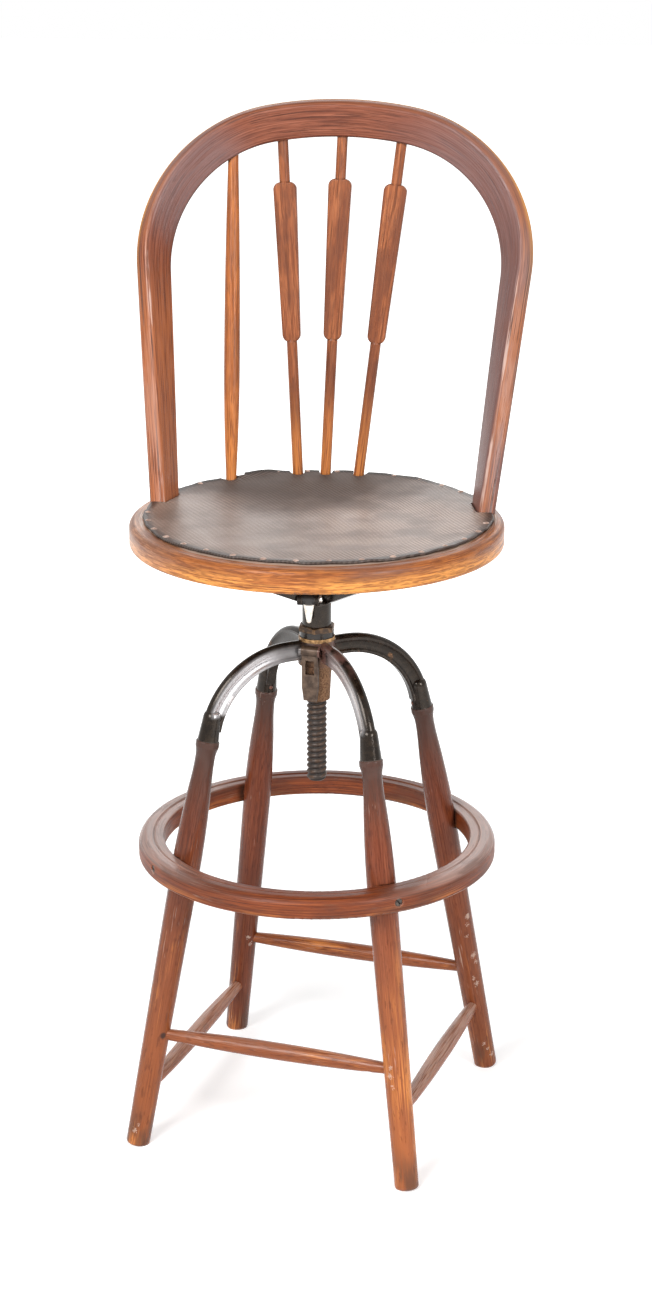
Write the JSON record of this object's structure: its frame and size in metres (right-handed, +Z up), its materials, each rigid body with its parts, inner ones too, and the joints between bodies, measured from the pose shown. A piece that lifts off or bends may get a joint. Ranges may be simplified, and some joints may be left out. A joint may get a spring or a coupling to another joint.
{
  "type": "swivel draughting stool",
  "caption": "Tall wooden swivel stool with a round leather-topped seat, bent bow back with spindles, foot ring, and an iron spider with a height screw.",
  "frame": {"origin": "on the floor under the swivel axis, midway between the four feet", "axes": "+Z up along the swivel axis, the sitter faces -Y, +X to the sitter's left"},
  "size_m": [0.4396, 0.4323, 1.1226],
  "materials": {
    "oak_legs": "dark red-brown stained oak, worn varnish",
    "oak_ring": "red-brown stained oak, worn varnish",
    "oak_seat": "orange-brown stained oak, worn edge",
    "oak_bow": "purple-brown stained oak, amber worn edge",
    "oak_spindles": "red-brown stained oak",
    "black_iron": "glossy worn black-brown paint on cast iron",
    "rusty_iron": "rust-brown bare iron",
    "old_brass": "dull greasy brass",
    "dark_screws": "dark steel",
    "nickel": "worn nickel plate",
    "leather": "dark brown embossed leather with a dull sheen",
    "tack_copper": "dull copper-coloured tack heads"
  },
  "bodies": {
    "base": {"leg_back_right": "oak_legs", "leg_back_left": "oak_legs", "leg_front_left": "oak_legs", "leg_front_right": "oak_legs", "foot_ring": "oak_ring", "foot_ring_screws": "dark_screws", "stretcher_front": "oak_legs", "stretcher_back": "oak_legs", "stretcher_left": "oak_legs", "stretcher_right": "oak_legs", "spider": "black_iron", "socket_pins": "rusty_iron", "latch_pin": "rusty_iron", "bearing_washer": "old_brass"},
    "nut": {"height_nut": "old_brass"},
    "screw": {"height_screw": "rusty_iron", "swivel_washer": "rusty_iron", "swivel_nut": "rusty_iron"},
    "seat": {"seat_iron": "black_iron", "seat_iron_screws": "dark_screws", "clamp_pin": "nickel", "seat_frame": "oak_seat", "seat_leather": "leather", "seat_tacks": "tack_copper", "bow": "oak_bow", "spindle_turned": "oak_spindles", "spindle_arrow_left": "oak_spindles", "spindle_arrow_middle": "oak_spindles", "spindle_arrow_right": "oak_spindles"},
    "latch": {"latch": "rusty_iron"},
    "lever": {"clamp_lever": "nickel"}
  },
  "joints": [
    {"name": "seat_lift", "type": "slide", "parent": "base", "child": "screw", "axis": [0, 0, 1], "range_m": [0, 0.075]},
    {"name": "nut_turn", "type": "hinge", "parent": "base", "child": "nut", "pos_m": [0, 0, 0.5738], "axis": [0, 0, 1], "range_deg": [-4260, 0]},
    {"name": "seat_swivel", "type": "hinge", "parent": "screw", "child": "seat", "pos_m": [0, 0, 0.648], "axis": [0, 0, 1], "continuous": true},
    {"name": "latch_swing", "type": "hinge", "parent": "base", "child": "latch", "pos_m": [-0.00432, -0.02034, 0.5555], "axis": [-0.9781, 0.2079, 0], "range_deg": [0, 25]},
    {"name": "clamp_swing", "type": "hinge", "parent": "seat", "child": "lever", "pos_m": [-0.0055, -0.0245, 0.617], "axis": [-1, 0, 0], "range_deg": [0, 75]}
  ],
  "couplings": [
    {"joint": "nut_turn", "follows": "seat_lift", "rad_per_m": -989.48}
  ]
}
